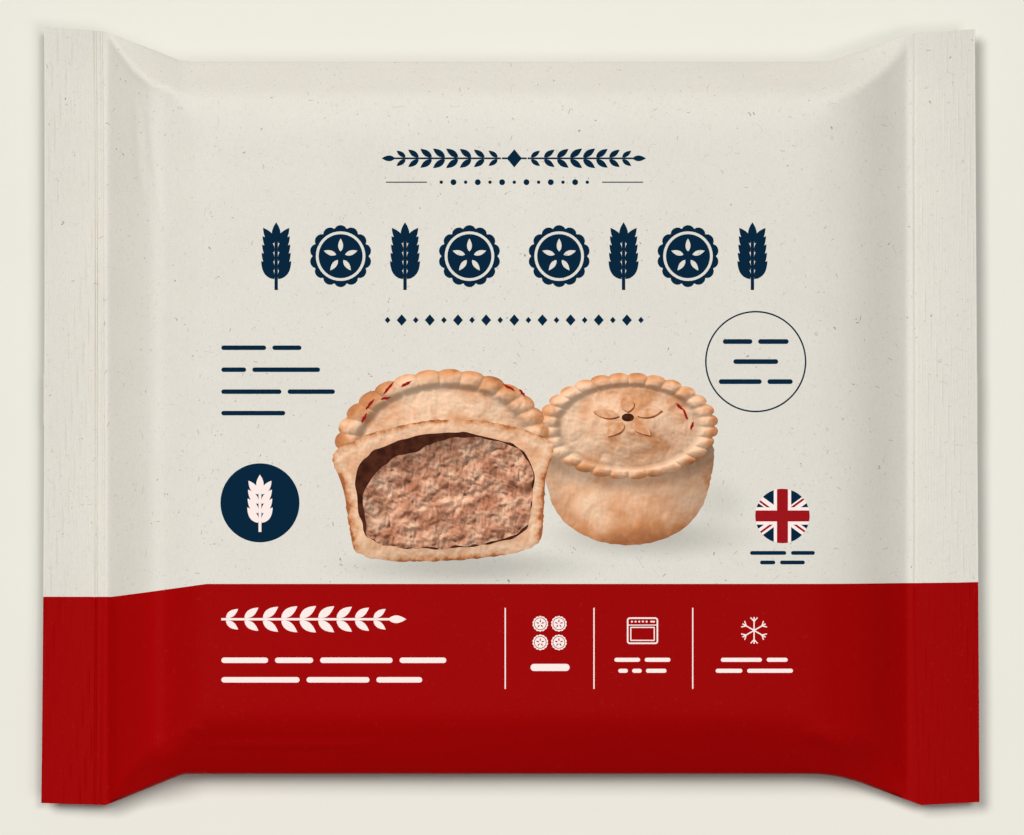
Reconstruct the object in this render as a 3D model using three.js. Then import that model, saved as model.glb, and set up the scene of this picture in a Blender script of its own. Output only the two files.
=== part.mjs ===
// A sealed flow-wrap pack of savoury pies, lying on its back with its printed face up.
// The film is one tube: a flat top, round long sides, a flat crimped seal at each end, and a
// lengthwise fin seal folded flat against the back. It is closed and opaque, so it is one solid.
// Millimetres, +Z up, +X from the left end seal to the right one. The origin is on the surface
// that the pack lies on, under its middle.
import * as THREE from "three";

// Driving dimensions
const PACK_LENGTH = 197.3;
const BODY_TOP_EDGE = 74.5;
const BODY_BOTTOM_EDGE = 75.3;
const BODY_THICKNESS = 24;
const LEFT_SEAL_WIDTH = 13.3;
const RIGHT_SEAL_WIDTH = 14.8;
const SEAL_HALF_LENGTH = 81.9;
const SEAL_HEIGHT = 10.5;
const SEAL_THICKNESS = 0.8;

// Each corner: half length of the seal where the flare starts and at the cut end, how far outside
// the seal's inner line the flare starts, how long it is, and how softly it meets the straight side
const CORNERS = {
  topLeft: { inner: 80.9, outer: 81.9, start: 0, flare: 16.5, turn: 0.5 },
  topRight: { inner: 80.4, outer: 81.5, start: 0.7, flare: 17.5, turn: 0.7 },
  bottomLeft: { inner: 81.9, outer: 81.5, start: 0, flare: 16.5, turn: 0.5 },
  bottomRight: { inner: 81.9, outer: 81.3, start: 2.6, flare: 17.5, turn: 2.4 },
};

// The climb of the film from each end seal to the flat faces, and from the flared corners.
// Ease is how gently it leaves the seal, and level how early it levels out.
const LEFT_CLIMB = { run: 19, ease: 1.15, level: 3 };
const RIGHT_CLIMB = { run: 26, ease: 1.35, level: 3.6 };
const CORNER_CLIMB = { run: 17, ease: 1.1, level: 3 };
const SIDE_RADIUS = 12;
const HIP_BLEND = 0.1;
const CROWN = 0.5;

// Relief of the end seals: fine crimps, and two bold ribs along the inner line
const CRIMP_PITCH = 1.1;
const CRIMP_HEIGHT = 0.12;
const RIB_HEIGHT = 0.3;
const RIB_WIDTH = 1.2;
const RIBS_WIDTH = 2 * RIB_WIDTH;
const SEAL_DROOP = 1;

// The fin seal along the back, and the shallow trough between the pies that it lies in
const FIN_WIDTH = 11;
const FIN_OFFSET = 3.5;
const FIN_THICKNESS = 0.5;
const FIN_EDGE = 0.2;
const TROUGH_DEPTH = 1;
const TROUGH_HALF_WIDTH = 17;

const HALF_LENGTH = PACK_LENGTH / 2;
const LEFT_LINE = LEFT_SEAL_WIDTH - HALF_LENGTH;
const RIGHT_LINE = HALF_LENGTH - RIGHT_SEAL_WIDTH;
const FLAT_HALF_WIDTH = BODY_TOP_EDGE - SIDE_RADIUS - 1;
const TOP_RISE = BODY_THICKNESS - SEAL_HEIGHT - SEAL_THICKNESS / 2;
const BACK_DROP = SEAL_HEIGHT - SEAL_THICKNESS / 2;

const clamp01 = (t) => Math.min(Math.max(t, 0), 1);
const mix = (a, b, t) => a + (b - a) * t;

function smoothStep(t) {
  const c = clamp01(t);
  return c * c * (3 - 2 * c);
}

function smoothMin(a, b, blend) {
  const overlap = Math.max(blend - Math.abs(a - b), 0) / blend;
  return Math.min(a, b) - (overlap * overlap * blend) / 4;
}

// A share that leaves 0 gently, rises steeply, and levels out at 1 where the run ends
function climb(distance, { run, ease, level }) {
  return 1 - (1 - clamp01(distance / run) ** ease) ** level;
}

// A share from 0 to 1 that follows a quarter circle
const roundSide = (distance) => Math.sqrt(1 - (1 - clamp01(distance / SIDE_RADIUS)) ** 2);

const fromLeftSeal = (x) => Math.max(x - LEFT_LINE, 0);
const fromRightSeal = (x) => Math.max(RIGHT_LINE - x, 0);

// Half width of the outline on one long side, for a station along the pack
function halfWidthAt(x, side) {
  const left = side > 0 ? CORNERS.topLeft : CORNERS.bottomLeft;
  const right = side > 0 ? CORNERS.topRight : CORNERS.bottomRight;
  const bodyEdge = side > 0 ? BODY_TOP_EDGE : BODY_BOTTOM_EDGE;
  const corner = x < 0 ? left : right;
  const sealWidth = x < 0 ? LEFT_SEAL_WIDTH : RIGHT_SEAL_WIDTH;
  const inward = (x < 0 ? x - LEFT_LINE : RIGHT_LINE - x) + corner.start;
  if (inward < 0) return mix(corner.inner, corner.outer, -inward / (sealWidth - corner.start));
  const slanted = mix(corner.inner, bodyEdge, inward / corner.flare);
  return -smoothMin(-slanted, -bodyEdge, corner.turn);
}

// How far a station is from the flat seal, 0, to the full section of the body, 1
function fullness(x) {
  const left = smoothStep(fromLeftSeal(x) / CORNERS.topLeft.flare);
  const right = smoothStep(fromRightSeal(x) / CORNERS.topRight.flare);
  return Math.min(left, right);
}

// Where a strip of film at distance q from the pack's centreline comes to lie across the pack.
// The film is as wide as the end seal. What is left over in the body stands up as its round side.
function acrossAt(x, q) {
  const strip = Math.abs(q);
  if (strip <= FLAT_HALF_WIDTH) return q;
  const side = Math.sign(q);
  const film = SEAL_HALF_LENGTH - FLAT_HALF_WIDTH;
  const room = halfWidthAt(x, side) - FLAT_HALF_WIDTH;
  const t = (strip - FLAT_HALF_WIDTH) / film;
  const start = film / room;
  const end = 1 - fullness(x);
  const share = start * t + (3 - 2 * start - end) * t ** 2 + (start + end - 2) * t ** 3;
  return side * (FLAT_HALF_WIDTH + room * share);
}

// Share of the full height that the film reaches at a point, from 0 on the seal to 1 on the flats
function heightShare(x, y) {
  const inset = Math.max(halfWidthAt(x, y) - Math.abs(y), 0);
  const fromLeft = climb(fromLeftSeal(x), LEFT_CLIMB);
  const fromRight = climb(fromRightSeal(x), RIGHT_CLIMB);
  const crosswise = mix(climb(inset, CORNER_CLIMB), roundSide(inset), fullness(x));
  const share = smoothMin(Math.min(fromLeft, fromRight), crosswise, HIP_BLEND);
  return Math.max(share / (1 - HIP_BLEND / 4), 0);
}

// Number of crimp flanks between a seal's ribs and its cut end, two for each crimp
const crimpFlanks = (sealWidth) => Math.round((2 * (sealWidth - RIBS_WIDTH)) / CRIMP_PITCH);

// A seal's own relief: two ribs along the inner line, fine crimps, and a slight droop outwards
function sealRelief(x) {
  const outward = Math.max(LEFT_LINE - x, x - RIGHT_LINE, 0);
  const width = x < 0 ? LEFT_SEAL_WIDTH : RIGHT_SEAL_WIDTH;
  const droop = SEAL_DROOP * (outward / width) ** 2;
  if (outward < RIBS_WIDTH) {
    const crest = (1 - Math.cos((2 * Math.PI * outward) / RIB_WIDTH)) / 2;
    return RIB_HEIGHT * crest - droop;
  }
  const flank = (crimpFlanks(width) * (outward - RIBS_WIDTH)) / (width - RIBS_WIDTH);
  return (CRIMP_HEIGHT / 2) * (1 - Math.cos(Math.PI * flank)) - droop;
}

// Depth of the trough in the back
function trough(y, share) {
  const reach = clamp01(Math.abs(y - FIN_OFFSET) / TROUGH_HALF_WIDTH);
  return TROUGH_DEPTH * share * Math.cos((Math.PI / 2) * reach) ** 2;
}

// How far the fin stands out of the back
const finAt = (y) => (Math.abs(y - FIN_OFFSET) <= FIN_WIDTH / 2 ? FIN_THICKNESS : 0);

function topPoint(x, q) {
  const y = acrossAt(x, q);
  const share = heightShare(x, y);
  const crown = CROWN * share * (y / BODY_TOP_EDGE) ** 2;
  const z = SEAL_HEIGHT + SEAL_THICKNESS / 2 + TOP_RISE * share - crown + sealRelief(x);
  return [x, y, z];
}

function backPoint(x, q) {
  const y = acrossAt(x, q);
  const share = heightShare(x, y);
  const film = SEAL_HEIGHT - SEAL_THICKNESS / 2 - BACK_DROP * share + trough(y, share);
  return [x, y, film - finAt(y) + sealRelief(x)];
}

// Evenly spaced values after a first one, up to and with a last one
const steps = (from, to, count) =>
  Array.from({ length: count }, (_, i) => mix(from, to, (i + 1) / count));

// Stations along the pack, closer together where the film bends
function stations() {
  const leftFlat = LEFT_LINE + LEFT_CLIMB.run;
  const rightFlat = RIGHT_LINE - RIGHT_CLIMB.run;
  return [
    -HALF_LENGTH,
    ...steps(-HALF_LENGTH, LEFT_LINE - RIBS_WIDTH, crimpFlanks(LEFT_SEAL_WIDTH)),
    ...steps(LEFT_LINE - RIBS_WIDTH, LEFT_LINE, 4),
    ...steps(LEFT_LINE, leftFlat, 12),
    ...steps(leftFlat, rightFlat, 5),
    ...steps(rightFlat, RIGHT_LINE, 14),
    ...steps(RIGHT_LINE, RIGHT_LINE + RIBS_WIDTH, 4),
    ...steps(RIGHT_LINE + RIBS_WIDTH, HALF_LENGTH, crimpFlanks(RIGHT_SEAL_WIDTH)),
  ];
}

// Strips across the film, closer together at the round sides and at the fin's two edges
function strips() {
  const troughLow = FIN_OFFSET - TROUGH_HALF_WIDTH;
  const troughHigh = FIN_OFFSET + TROUGH_HALF_WIDTH;
  const finLow = FIN_OFFSET - FIN_WIDTH / 2;
  const finHigh = FIN_OFFSET + FIN_WIDTH / 2;
  return [
    -SEAL_HALF_LENGTH,
    ...steps(-SEAL_HALF_LENGTH, -FLAT_HALF_WIDTH, 7),
    ...steps(-FLAT_HALF_WIDTH, troughLow, 2),
    ...steps(troughLow, finLow - FIN_EDGE, 2),
    finLow,
    finHigh,
    finHigh + FIN_EDGE,
    ...steps(finHigh + FIN_EDGE, troughHigh, 2),
    ...steps(troughHigh, FLAT_HALF_WIDTH, 2),
    ...steps(FLAT_HALF_WIDTH, SEAL_HALF_LENGTH, 7),
  ];
}

// Two triangles of one cell of the surface, cut along the first diagonal or the second
function splitCell(a, b, c, d, alongFirst) {
  return alongFirst ? [a, b, c, a, c, d] : [b, c, d, b, d, a];
}

// Joins the top sheet and the back sheet round their common edge into one closed surface
function packGeometry() {
  const xs = stations();
  const qs = strips();
  const lastX = xs.length - 1;
  const lastQ = qs.length - 1;
  const top = (i, j) => i * qs.length + j;
  const back = (i, j) => xs.length * qs.length + top(i, j);
  const sheet = (point) => xs.flatMap((x) => qs.flatMap((q) => point(x, q)));
  const indices = [];
  // The cut of each cell follows the crease that runs in from the nearest corner
  for (let i = 0; i < lastX; i += 1) {
    for (let j = 0; j < lastQ; j += 1) {
      const alongFirst = xs[i] * qs[j] > 0;
      const over = [top(i, j), top(i + 1, j), top(i + 1, j + 1), top(i, j + 1)];
      const under = [back(i, j), back(i, j + 1), back(i + 1, j + 1), back(i + 1, j)];
      indices.push(...splitCell(...over, alongFirst), ...splitCell(...under, alongFirst));
    }
  }
  for (let i = 0; i < lastX; i += 1) {
    const low = [back(i, 0), back(i + 1, 0), top(i + 1, 0), top(i, 0)];
    const high = [back(i + 1, lastQ), back(i, lastQ), top(i, lastQ), top(i + 1, lastQ)];
    indices.push(...splitCell(...low, true), ...splitCell(...high, true));
  }
  for (let j = 0; j < lastQ; j += 1) {
    const left = [back(0, j + 1), back(0, j), top(0, j), top(0, j + 1)];
    const right = [back(lastX, j), back(lastX, j + 1), top(lastX, j + 1), top(lastX, j)];
    indices.push(...splitCell(...left, true), ...splitCell(...right, true));
  }
  const geometry = new THREE.BufferGeometry();
  const positions = [...sheet(topPoint), ...sheet(backPoint)];
  geometry.setAttribute("position", new THREE.Float32BufferAttribute(positions, 3));
  geometry.setIndex(indices);
  geometry.computeVertexNormals();
  return geometry;
}

const film = new THREE.MeshStandardMaterial({ color: "#e2decf", roughness: 0.62, metalness: 0 });

const pack = new THREE.Mesh(packGeometry(), film);
pack.name = "pack";

const object = new THREE.Group();
object.add(pack);

export default object;
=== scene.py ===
import math
import random
from collections import namedtuple

import bpy
import numpy as np
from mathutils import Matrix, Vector
from mathutils.geometry import delaunay_2d_cdt


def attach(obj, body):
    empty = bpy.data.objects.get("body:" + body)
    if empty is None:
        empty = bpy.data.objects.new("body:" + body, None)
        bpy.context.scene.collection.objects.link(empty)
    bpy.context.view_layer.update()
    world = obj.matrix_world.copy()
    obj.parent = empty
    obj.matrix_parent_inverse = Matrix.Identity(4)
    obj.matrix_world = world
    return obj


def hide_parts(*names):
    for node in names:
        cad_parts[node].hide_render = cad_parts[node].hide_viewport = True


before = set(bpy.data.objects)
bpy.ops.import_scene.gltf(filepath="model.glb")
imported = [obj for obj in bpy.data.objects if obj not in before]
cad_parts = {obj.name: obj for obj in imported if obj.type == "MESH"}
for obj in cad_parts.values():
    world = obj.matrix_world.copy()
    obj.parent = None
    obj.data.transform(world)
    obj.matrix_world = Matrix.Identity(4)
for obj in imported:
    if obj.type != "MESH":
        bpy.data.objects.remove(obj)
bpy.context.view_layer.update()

random.seed(41)
MM = 0.001

# Dimensions of the pack, millimetres, those of the CAD model to within 0.3 mm
PACK_LENGTH = 197.3
HALF_LENGTH = PACK_LENGTH / 2
BODY_TOP_EDGE = 74.5
BODY_BOTTOM_EDGE = 75.5
BODY_THICKNESS = 24.0
LEFT_SEAL_WIDTH = 13.3
RIGHT_SEAL_WIDTH = 14.8
LEFT_LINE = LEFT_SEAL_WIDTH - HALF_LENGTH
RIGHT_LINE = HALF_LENGTH - RIGHT_SEAL_WIDTH
LEFT_FLARE = 16.5
RIGHT_FLARE = 17.5
SEAL_HALF_LENGTH = 81.9
SEAL_HEIGHT = 10.5
FLAT_HALF_WIDTH = 61.5
CROWN = 0.5

# Each corner: half length of the seal where the flare starts and at the cut end, how far outside
# the seal's inner line the flare starts, how long it is, how softly it meets the long side, and
# the long side's edge and the seal's width there
Corner = namedtuple("Corner", "inner outer start flare turn body_edge seal_width")
CORNERS = (
    Corner(80.9, 81.9, 0.0, LEFT_FLARE, 0.5, BODY_TOP_EDGE, LEFT_SEAL_WIDTH),
    Corner(80.4, 81.5, 0.7, RIGHT_FLARE, 0.7, BODY_TOP_EDGE, RIGHT_SEAL_WIDTH),
    Corner(82.1, 81.7, 0.0, LEFT_FLARE, 0.5, BODY_BOTTOM_EDGE, LEFT_SEAL_WIDTH),
    Corner(82.1, 81.5, 2.6, RIGHT_FLARE, 2.4, BODY_BOTTOM_EDGE, RIGHT_SEAL_WIDTH),
)

# The film itself, two layers of it in the seals, and the seals' relief
SEAL_THICKNESS = 0.3
TOP_RISE = BODY_THICKNESS - SEAL_HEIGHT - SEAL_THICKNESS / 2
BACK_DROP = SEAL_HEIGHT - SEAL_THICKNESS / 2
SEAL_DROOP = 1.0
RIBS_WIDTH = 2.6
RIB_STEPS = 40
CRIMP_PITCH = 0.62
CRIMP_STEPS = 4
LEFT_CRIMPS = 0.2
RIGHT_CRIMPS = 0.11
RIGHT_CRIMPS_SHIFT = 40

# How the crimps fade in and out: length along a crimp, and the turn from one crimp to the next
CRIMP_PATCHES = (15.0, 0.3)
CRIMP_STREAKS = (3.4, 2.4)
CRIMP_LONG_STREAKS = (8.3, 5.1)

# Grooves along each seal's inner line: distance outside the line, how much further out they run
# at both ends of the seal and at its lower end, half width and depth
LEFT_GROOVES = [(1.98, 0.28, 0.0, 0.32, 0.42), (0.5, 0.45, 0.0, 0.32, 0.24)]
RIGHT_GROOVES = [(1.48, 0.0, 1.0, 0.42, 0.2)]
GROOVE_DRIFT_START = -30
GROOVE_DRIFT_LENGTH = 45
BAND_GROOVE_SHARE = 0.5
BAND_GROOVE_START = -36

# How far each cut end stands out from its straight line, as a curve over y
LEFT_CUT = (-0.346, -0.0037, 0.000046)
RIGHT_CUT = (-0.25, -0.006, 0.0)

# Slope of the film at distances from the long edges, above an upright wall at the edge itself
WALL_REACH = 0.6
TOP_SIDE = [(0, 1.5), (5.6, 1.42), (6.8, 1.1), (8.6, 0.42), (13.5, 0.2), (16, 0.1), (20, 0)]
BOTTOM_SIDE = [(0, 0.9), (1.5, 0.6), (9.5, 0.44), (11.5, 0.34), (14, 0.06), (17, 0)]
BACK_SIDE = [(0, 1.6), (3, 0.9), (6, 0.45), (9, 0.15), (12, 0)]

# The same at distances from each seal's inner line
LEFT_END = [
    (0, 0.1), (0.4, 0.3), (0.9, 0.98), (5.5, 0.98), (7.5, 0.9), (9.2, 0.74), (10.4, 0.42),
    (11.3, 0.14), (12, 0.14), (13.5, 0.44), (17, 0.42), (20, 0.3), (25, 0),
]
RIGHT_END = [
    (0, 0.2), (1, 0.66), (3.2, 0.76), (4.7, 0.85), (7.7, 0.85), (9.1, 0.75), (10.6, 0.68),
    (12.1, 0.56), (15, 0.37), (18, 0.27), (20.8, 0.12), (26, 0.07), (34, 0),
]

# The same at distances from the flared edge of each corner, in the order of the corners
FRONT_CORNERS = [
    [(0, 0.85), (5, 1.0), (8, 1.5), (10, 1.0), (14, 0)],
    [(0, 0.3), (4, 0.55), (8, 0.9), (14, 1.3), (18, 0)],
    [(0, 0.5), (3, 0.75), (9, 1.1), (13, 1.0), (17, 0)],
    [(0, 0.15), (7, 0.35), (10, 0.8), (14, 1.6), (18, 1.4), (20, 0)],
]
BACK_CORNER = [(0, 1.1), (5, 0.95), (9, 0.6), (14, 0.1), (17, 0)]
LEFT_HIP_BLEND = 0.08
RIGHT_HIP_BLEND = 0.07

# Slight unevenness of the film: height, wavelength, direction, phase
WAVES = [
    (0.045, 47.0, 0.4, 0.3),
    (0.035, 33.0, 1.9, 2.1),
    (0.025, 21.0, 2.6, 4.0),
    (0.012, 12.5, 1.1, 1.2),
    (0.008, 8.7, 0.2, 5.1),
]
WAVE_ALLOWANCE = 0.12

# Creases of the top sheet: path in the plane, width and height of the ridge
CREASES = [
    ([(-84.8, 79.8), (-82.8, 77.3), (-79.2, 72.2), (-76.0, 69.6), (-69.0, 67.5), (-63.0, 66.4)], 0.8, 0.2),
    ([(-78.6, 66.0), (-78.5, 60.0), (-78.1, 53.0), (-77.2, 46.0)], 0.9, 0.2),
    ([(-75.5, 65.5), (-75.7, 61.0), (-75.2, 55.8), (-74.2, 49.5), (-73.6, 40.0)], 0.8, 0.18),
    ([(-77.0, 64.5), (-76.9, 60.0), (-76.6, 55.5)], 0.4, -0.1),
    ([(83.4, 78.6), (80.8, 75.4), (73.0, 68.6), (67.6, 65.8), (61.0, 65.2)], 0.7, 0.12),
    ([(33.9, 67.3), (58.7, 67.3)], 0.35, 0.07),
    ([(-26.2, 67.3), (-14.2, 67.3)], 0.35, 0.06),
    (
        [(-84.8, -80.4), (-83.2, -78.5), (-79.3, -72.6), (-74.7, -69.3), (-69.5, -66.6), (-62.0, -64.8)],
        0.7, 0.2,
    ),
    ([(-67.0, -69.0), (-44.2, -69.1), (-26.0, -69.0)], 0.5, 0.12),
    ([(84.4, -79.4), (79.6, -72.0), (73.5, -67.2), (69.9, -65.9), (62.0, -65.0)], 0.8, 0.14),
    ([(60.0, -67.0), (65.0, -67.2), (69.5, -68.6), (73.5, -72.0)], 1.5, 0.3),
]

# The fin seal along the back, and the trough that it lies in
FIN_WIDTH = 11.0
FIN_OFFSET = 3.5
FIN_HALF_LENGTH = 98.5
FIN_THICKNESS = 0.5
FIN_ROOT = 0.05
FIN_CRIMP_PITCH = 1.0
FIN_CRIMP_STEPS = 5
FIN_CRIMP_HEIGHT = 0.06
FIN_MIDDLE = 60
FIN_COLUMNS = 60
TROUGH_DEPTH = 1.0
TROUGH_HALF_WIDTH = 17.0

# Spacing of the film's mesh, and how far each layer of ink stands on the one below
BODY_STEP = 1.1
END_REACH = 26
LEFT_END_COLUMNS = 38
RIGHT_END_COLUMNS = 34
OUTLINE_STEP = 1.2
ROW_STEP = 1.2
BACK_STEP = 2.6
NORMAL_STEP = 0.02
NEAR = 1e-4
INK_LAYER = 0.03
INK_ROOT = 0.01
BACK_FLOOR = 0.04


# Shape of the film

def clamp01(value):
    return np.clip(value, 0.0, 1.0)


def mix(a, b, share):
    return a + (b - a) * share


def smooth_step(value):
    c = clamp01(value)
    return c * c * (3 - 2 * c)


def smooth_min(a, b, blend):
    overlap = np.maximum(blend - np.abs(a - b), 0) / blend
    return np.minimum(a, b) - overlap * overlap * blend / 4


def slope_table(slopes, rise=None):
    """Distances, and the share of the rise that a film with these slopes reaches there. An upright
    wall at the edge makes up what the slopes leave of the rise"""
    places = np.linspace(0, slopes[-1][0], 600)
    slope = np.interp(places, *zip(*slopes))
    steps = (slope[1:] + slope[:-1]) / 2 * np.diff(places)
    climbed = np.concatenate([[0], np.cumsum(steps)])
    rise = rise or climbed[-1]
    wall = (1 - climbed[-1] / rise) * np.sqrt(1 - (1 - clamp01(places / WALL_REACH)) ** 2)
    return places, wall + climbed / rise


def by_side(x, left, right):
    return np.where(x < 0, left, right)


def by_corner(x, y, values):
    """The value of the corner or side that each place belongs to"""
    top_left, top_right, bottom_left, bottom_right = values
    return np.where(y > 0, by_side(x, top_left, top_right), by_side(x, bottom_left, bottom_right))


def inward(x):
    """Distances inside the inner lines of the left and the right seal"""
    return np.maximum(x - LEFT_LINE, 0), np.maximum(RIGHT_LINE - x, 0)


def corner_width(x, corner):
    """Half width of the outline at a station, measured on one corner's side"""
    edge_in = by_side(x, x - LEFT_LINE, RIGHT_LINE - x) + corner.start
    on_seal = mix(corner.inner, corner.outer, -edge_in / (corner.seal_width - corner.start))
    slanted = mix(corner.inner, corner.body_edge, edge_in / corner.flare)
    on_body = -smooth_min(-slanted, -corner.body_edge, corner.turn)
    return np.where(edge_in < 0, on_seal, on_body)


def half_width(x, side):
    """Half width of the outline on the side of +Y or -Y"""
    return by_corner(x, side, [corner_width(x, corner) for corner in CORNERS])


def fullness(x):
    """From 0 on the flat seal to 1 where the body has its full section"""
    from_left, from_right = inward(x)
    return np.minimum(smooth_step(from_left / LEFT_FLARE), smooth_step(from_right / RIGHT_FLARE))


def across(x, q):
    """Where a strip of film at distance q from the centreline comes to lie across the pack"""
    film = SEAL_HALF_LENGTH - FLAT_HALF_WIDTH
    room = half_width(x, q) - FLAT_HALF_WIDTH
    t = np.maximum(np.abs(q) - FLAT_HALF_WIDTH, 0) / film
    start = film / room
    end = 1 - fullness(x)
    share = start * t + (3 - 2 * start - end) * t**2 + (start + end - 2) * t**3
    return np.where(np.abs(q) <= FLAT_HALF_WIDTH, q, np.sign(q) * (FLAT_HALF_WIDTH + room * share))


LEFT_TABLE = slope_table(LEFT_END)
RIGHT_TABLE = slope_table(RIGHT_END)
TOP_TABLE = slope_table(TOP_SIDE, TOP_RISE)
BOTTOM_TABLE = slope_table(BOTTOM_SIDE, TOP_RISE)
FRONT_TABLES = (
    [TOP_TABLE, TOP_TABLE, BOTTOM_TABLE, BOTTOM_TABLE], [slope_table(slopes) for slopes in FRONT_CORNERS]
)
BACK_TABLES = ([slope_table(BACK_SIDE, BACK_DROP)] * 4, [slope_table(BACK_CORNER)] * 4)


def height_share(x, y, tables):
    """Share of the full height that the film reaches, 0 on the seals and 1 on the flats"""
    inset = np.maximum(half_width(x, y) - np.abs(y), 0)
    from_left, from_right = inward(x)
    lengthwise = np.minimum(np.interp(from_left, *LEFT_TABLE), np.interp(from_right, *RIGHT_TABLE))
    from_side, from_corner = (
        by_corner(x, y, [np.interp(inset, *table) for table in four]) for four in tables
    )
    crosswise = mix(from_corner, from_side, fullness(x))
    blend = by_side(x, LEFT_HIP_BLEND, RIGHT_HIP_BLEND)
    share = smooth_min(lengthwise, crosswise, blend)
    return np.maximum(share / (1 - blend / 4), 0)


def grooves(outward, y, rows_of_grooves):
    """Depth of a seal's grooves at a distance outside its inner line"""
    drifting = clamp01((GROOVE_DRIFT_START - y) / GROOVE_DRIFT_LENGTH) ** 2
    on_band = mix(1, BAND_GROOVE_SHARE, clamp01((BAND_GROOVE_START - y) / 6))
    depth = np.zeros_like(y)
    for start, bow, drift, width, deep in rows_of_grooves:
        place = start + bow * (y / SEAL_HALF_LENGTH) ** 2 + drift * drifting
        wander = 0.05 * np.sin(y / 17.0 + start) + 0.02 * np.sin(y / 5.3)
        fade = (0.8 + 0.2 * np.sin(y / 12.0 + 3 * start)) * on_band
        off = ((outward - place - wander) / width) ** 2
        depth += deep * fade * (1 - off) * np.exp(-off)
    return depth


def seal_relief(x, y):
    """Grooves along the inner line, fine crimps that fade in and out, and a droop outwards"""
    outward = np.maximum(LEFT_LINE - x, x - RIGHT_LINE)
    droop = SEAL_DROOP * (np.maximum(outward, 0) / by_side(x, LEFT_SEAL_WIDTH, RIGHT_SEAL_WIDTH)) ** 2
    furrows = by_side(x, grooves(outward, y, LEFT_GROOVES), grooves(outward, y, RIGHT_GROOVES))
    turns = (outward - RIBS_WIDTH) / CRIMP_PITCH
    line = np.floor(turns) + by_side(x, 0, RIGHT_CRIMPS_SHIFT)

    def fading(length, turn):
        return np.sin(y / length + turn * line)

    patches = 0.6 + 0.4 * fading(*CRIMP_PATCHES)
    strength = 0.1 + patches * fading(*CRIMP_STREAKS) * fading(*CRIMP_LONG_STREAKS)
    tall = by_side(x, LEFT_CRIMPS, RIGHT_CRIMPS)
    crimps = tall * np.clip(strength, 0.05, 1.0) * (1 - np.cos(2 * math.pi * turns)) / 2
    past_ribs = smooth_step((outward - RIBS_WIDTH) / 0.4)
    return crimps * past_ribs - furrows - droop


def soft_waves(x, y):
    """Slight unevenness of the film, as a sum of long waves"""
    total = np.zeros_like(x)
    for height, length, angle, phase in WAVES:
        along = x * math.cos(angle) + y * math.sin(angle)
        total += height * np.sin(2 * math.pi * along / length + phase)
    return total


def ridge(x, y, path, width, height):
    """A soft ridge along a path, which fades out at both ends"""
    here = x + 1j * y
    points = [complex(*point) for point in path]
    total = sum(abs(end - start) for start, end in zip(points, points[1:]))
    nearest = np.full_like(x, 1e9)
    place = np.zeros_like(x)
    run = 0.0
    for start, end in zip(points, points[1:]):
        length = abs(end - start)
        local = (here - start) * length / (end - start)
        along = np.clip(local.real, 0, length)
        distance = abs(local - along)
        place = np.where(distance < nearest, (run + along) / total, place)
        nearest = np.minimum(distance, nearest)
        run += length
    fade = 1 - (2 * place - 1) ** 4
    return height * fade * np.exp(-((nearest / width) ** 2))


def top_height(x, y):
    share = height_share(x, y, FRONT_TABLES)
    crown = CROWN * share * (y / BODY_TOP_EDGE) ** 2
    uneven = soft_waves(x, y) * smooth_step(share * 3 - 0.3) - WAVE_ALLOWANCE
    creases = sum(ridge(x, y, *crease) for crease in CREASES) * smooth_step(share * 6)
    film = SEAL_HEIGHT + SEAL_THICKNESS / 2 + TOP_RISE * share - crown
    return film + uneven + creases + seal_relief(x, y)


def back_height(x, y):
    share = height_share(x, y, BACK_TABLES)
    film = SEAL_HEIGHT - SEAL_THICKNESS / 2 - BACK_DROP * share
    reach = clamp01(np.abs(y - FIN_OFFSET) / TROUGH_HALF_WIDTH)
    trough = TROUGH_DEPTH * share * np.cos(math.pi / 2 * reach) ** 2
    return np.maximum(film + trough + seal_relief(x, y), BACK_FLOOR)


def cut_shift(x, y):
    """How far the film shifts outwards at its cut ends, from nothing at the seals' inner lines"""
    outward = by_side(x, (LEFT_LINE - x) / LEFT_SEAL_WIDTH, (x - RIGHT_LINE) / RIGHT_SEAL_WIDTH)
    curve = by_side(x, np.polyval(LEFT_CUT[::-1], y), np.polyval(RIGHT_CUT[::-1], y))
    return np.sign(x) * curve * np.maximum(outward, 0)


def sheet_points(x, q, height):
    y = across(x, q)
    return np.stack([x + cut_shift(x, y), y, height(x, y)], axis=1)


def sheet_normals(x, q, height, up):
    """Normals of a sheet, from the slope of the surface itself"""
    steps = (-NORMAL_STEP, NORMAL_STEP)
    x_low, x_high = (np.clip(x + step, -HALF_LENGTH, HALF_LENGTH) for step in steps)
    q_low, q_high = (np.clip(q + step, -SEAL_HALF_LENGTH, SEAL_HALF_LENGTH) for step in steps)
    along = sheet_points(x_high, q, height) - sheet_points(x_low, q, height)
    sideways = sheet_points(x, q_high, height) - sheet_points(x, q_low, height)
    normals = np.cross(along, sideways) * up
    return normals / np.maximum(np.linalg.norm(normals, axis=1), 1e-12)[:, None]


# Outlines for the print, in the plane of the film

def disc(x, y, radius, count=40):
    turns = [2 * math.pi * i / count for i in range(count)]
    return [(x + radius * math.cos(a), y + radius * math.sin(a)) for a in turns]


def box(x0, y0, x1, y1):
    return [(x0, y0), (x1, y0), (x1, y1), (x0, y1)]


def lozenge(x, y, wide, tall):
    """A lozenge, from its half width and half height"""
    return [(x, y - tall), (x + wide, y), (x, y + tall), (x - wide, y)]


def stroke(x0, y0, x1, y1, width):
    """A straight bar from one point to another"""
    length = math.hypot(x1 - x0, y1 - y0)
    nx = (y0 - y1) / length * width / 2
    ny = (x1 - x0) / length * width / 2
    return [(x0 - nx, y0 - ny), (x1 - nx, y1 - ny), (x1 + nx, y1 + ny), (x0 + nx, y0 + ny)]


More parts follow.
